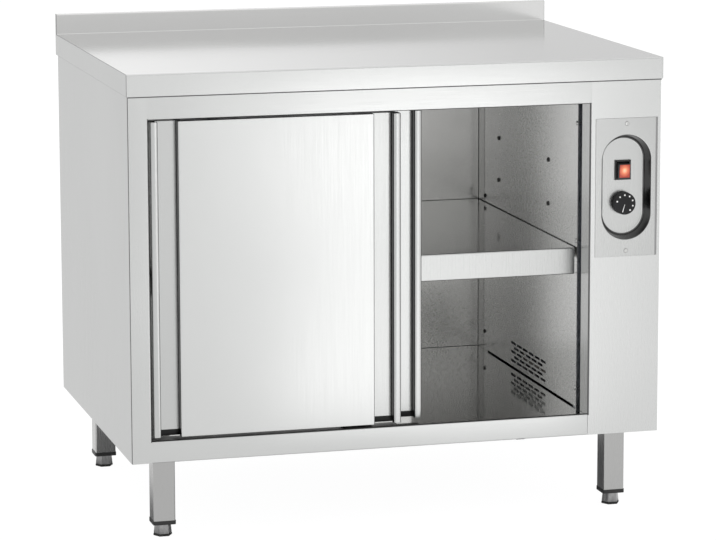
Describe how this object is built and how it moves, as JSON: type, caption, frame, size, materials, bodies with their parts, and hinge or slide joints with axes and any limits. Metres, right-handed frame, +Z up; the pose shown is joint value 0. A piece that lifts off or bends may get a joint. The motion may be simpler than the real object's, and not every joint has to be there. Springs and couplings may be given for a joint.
{
  "type": "plate warmer cabinet",
  "caption": "Free-standing stainless hot cupboard: sliding double-skin doors on rollers, shelf, fan-heated cavity, side control dish, rear upstand, square legs with adjustable feet.",
  "frame": {"origin": "on the floor, under the middle of the worktop's outline", "axes": "+X to the right seen from the front, +Y from the front to the back, +Z up"},
  "size_m": [1, 0.7, 0.89],
  "materials": {
    "stainless": "satin stainless, fine vertical or lengthwise grain",
    "stainless_inner": "bright stainless lining",
    "zinc_steel": "zinc-plated sheet and wire, satin",
    "foot_steel": "turned hexagon steel",
    "black_plastic": "matte black",
    "amber_rocker": "glossy, lit from inside",
    "nylon": "natural nylon",
    "rubber": "matte black"
  },
  "bodies": {
    "cabinet": {"worktop": "stainless", "worktop_stiffeners": "zinc_steel", "left_side_panel": "stainless", "right_side_panel": "stainless", "back_panel": "stainless", "base_panel": "zinc_steel", "base_channels": "zinc_steel", "front_left_post": "stainless", "front_top_rail": "stainless", "front_bottom_rail": "stainless", "control_front_panel": "stainless", "cavity_floor": "stainless_inner", "cavity_back": "stainless_inner", "left_liner": "stainless_inner", "right_liner": "stainless_inner", "liner_battens": "zinc_steel", "partition": "zinc_steel", "liner_screws": "stainless_inner", "shelf_pegs": "stainless_inner", "top_track": "zinc_steel", "door_guide": "nylon", "leg_front_left": "stainless", "leg_front_right": "stainless", "leg_rear_left": "stainless", "leg_rear_right": "stainless", "leg_plugs": "black_plastic", "leg_bolts": "zinc_steel", "control_plate": "stainless", "plate_screws": "stainless", "switch_body": "black_plastic", "thermostat": "zinc_steel", "fan_casing": "zinc_steel", "fan_motor": "zinc_steel", "heating_element": "zinc_steel", "terminal_block": "nylon", "cable_gland": "black_plastic"},
    "shelf": {"shelf": "stainless"},
    "left_door": {"left_door_front": "stainless", "left_door_back": "stainless_inner", "left_door_pulls": "stainless", "left_door_hangers": "zinc_steel"},
    "left_door_roller_left": {"left_door_roller_left": "nylon"},
    "left_door_roller_right": {"left_door_roller_right": "nylon"},
    "right_door": {"right_door_front": "stainless", "right_door_back": "stainless_inner", "right_door_pulls": "stainless", "right_door_hangers": "zinc_steel"},
    "right_door_roller_left": {"right_door_roller_left": "nylon"},
    "right_door_roller_right": {"right_door_roller_right": "nylon"},
    "fan_rotor": {"fan_rotor": "zinc_steel"},
    "thermostat_knob": {"thermostat_knob": "black_plastic"},
    "switch_rocker": {"switch_rocker": "amber_rocker"},
    "foot_front_left": {"foot_front_left": "foot_steel", "foot_pad_front_left": "rubber"},
    "foot_front_right": {"foot_front_right": "foot_steel", "foot_pad_front_right": "rubber"},
    "foot_rear_left": {"foot_rear_left": "foot_steel", "foot_pad_rear_left": "rubber"},
    "foot_rear_right": {"foot_rear_right": "foot_steel", "foot_pad_rear_right": "rubber"}
  },
  "joints": [
    {"name": "shelf_lift", "type": "slide", "parent": "cabinet", "child": "shelf", "axis": [0, 0, 1], "range_m": [0, 0.25]},
    {"name": "left_door_slide", "type": "slide", "parent": "cabinet", "child": "left_door", "axis": [1, 0, 0], "range_m": [-0.0055, 0.3555]},
    {"name": "left_door_roller_left_spin", "type": "hinge", "parent": "left_door", "child": "left_door_roller_left", "pos_m": [-0.385, -0.3298, 0.7875], "axis": [0, 1, 0], "continuous": true},
    {"name": "left_door_roller_right_spin", "type": "hinge", "parent": "left_door", "child": "left_door_roller_right", "pos_m": [-0.067, -0.3298, 0.7875], "axis": [0, 1, 0], "continuous": true},
    {"name": "right_door_slide", "type": "slide", "parent": "cabinet", "child": "right_door", "axis": [1, 0, 0], "range_m": [-0.0525, 0.3085]},
    {"name": "right_door_roller_left_spin", "type": "hinge", "parent": "right_door", "child": "right_door_roller_left", "pos_m": [-0.338, -0.3018, 0.7875], "axis": [0, 1, 0], "continuous": true},
    {"name": "right_door_roller_right_spin", "type": "hinge", "parent": "right_door", "child": "right_door_roller_right", "pos_m": [-0.02, -0.3018, 0.7875], "axis": [0, 1, 0], "continuous": true},
    {"name": "fan_spin", "type": "hinge", "parent": "cabinet", "child": "fan_rotor", "pos_m": [0.452, 0.007, 0.2645], "axis": [0, 1, 0], "continuous": true},
    {"name": "knob_turn", "type": "hinge", "parent": "cabinet", "child": "thermostat_knob", "pos_m": [0.431, -0.3287, 0.58], "axis": [0, 1, 0], "range_deg": [0, 270]},
    {"name": "switch_rock", "type": "hinge", "parent": "cabinet", "child": "switch_rocker", "pos_m": [0.431, -0.3207, 0.641], "axis": [-1, 0, 0], "range_deg": [0, 14]},
    {"name": "foot_front_left_screw", "type": "slide", "parent": "cabinet", "child": "foot_front_left", "axis": [0, 0, -1], "range_m": [0, 0.05]},
    {"name": "foot_front_right_screw", "type": "slide", "parent": "cabinet", "child": "foot_front_right", "axis": [0, 0, -1], "range_m": [0, 0.05]},
    {"name": "foot_rear_left_screw", "type": "slide", "parent": "cabinet", "child": "foot_rear_left", "axis": [0, 0, -1], "range_m": [0, 0.05]},
    {"name": "foot_rear_right_screw", "type": "slide", "parent": "cabinet", "child": "foot_rear_right", "axis": [0, 0, -1], "range_m": [0, 0.05]}
  ],
  "couplings": [
    {"joint": "left_door_roller_left_spin", "follows": "left_door_slide", "rad_per_m": 111.11},
    {"joint": "left_door_roller_right_spin", "follows": "left_door_slide", "rad_per_m": 111.11},
    {"joint": "right_door_roller_left_spin", "follows": "right_door_slide", "rad_per_m": 111.11},
    {"joint": "right_door_roller_right_spin", "follows": "right_door_slide", "rad_per_m": 111.11}
  ]
}
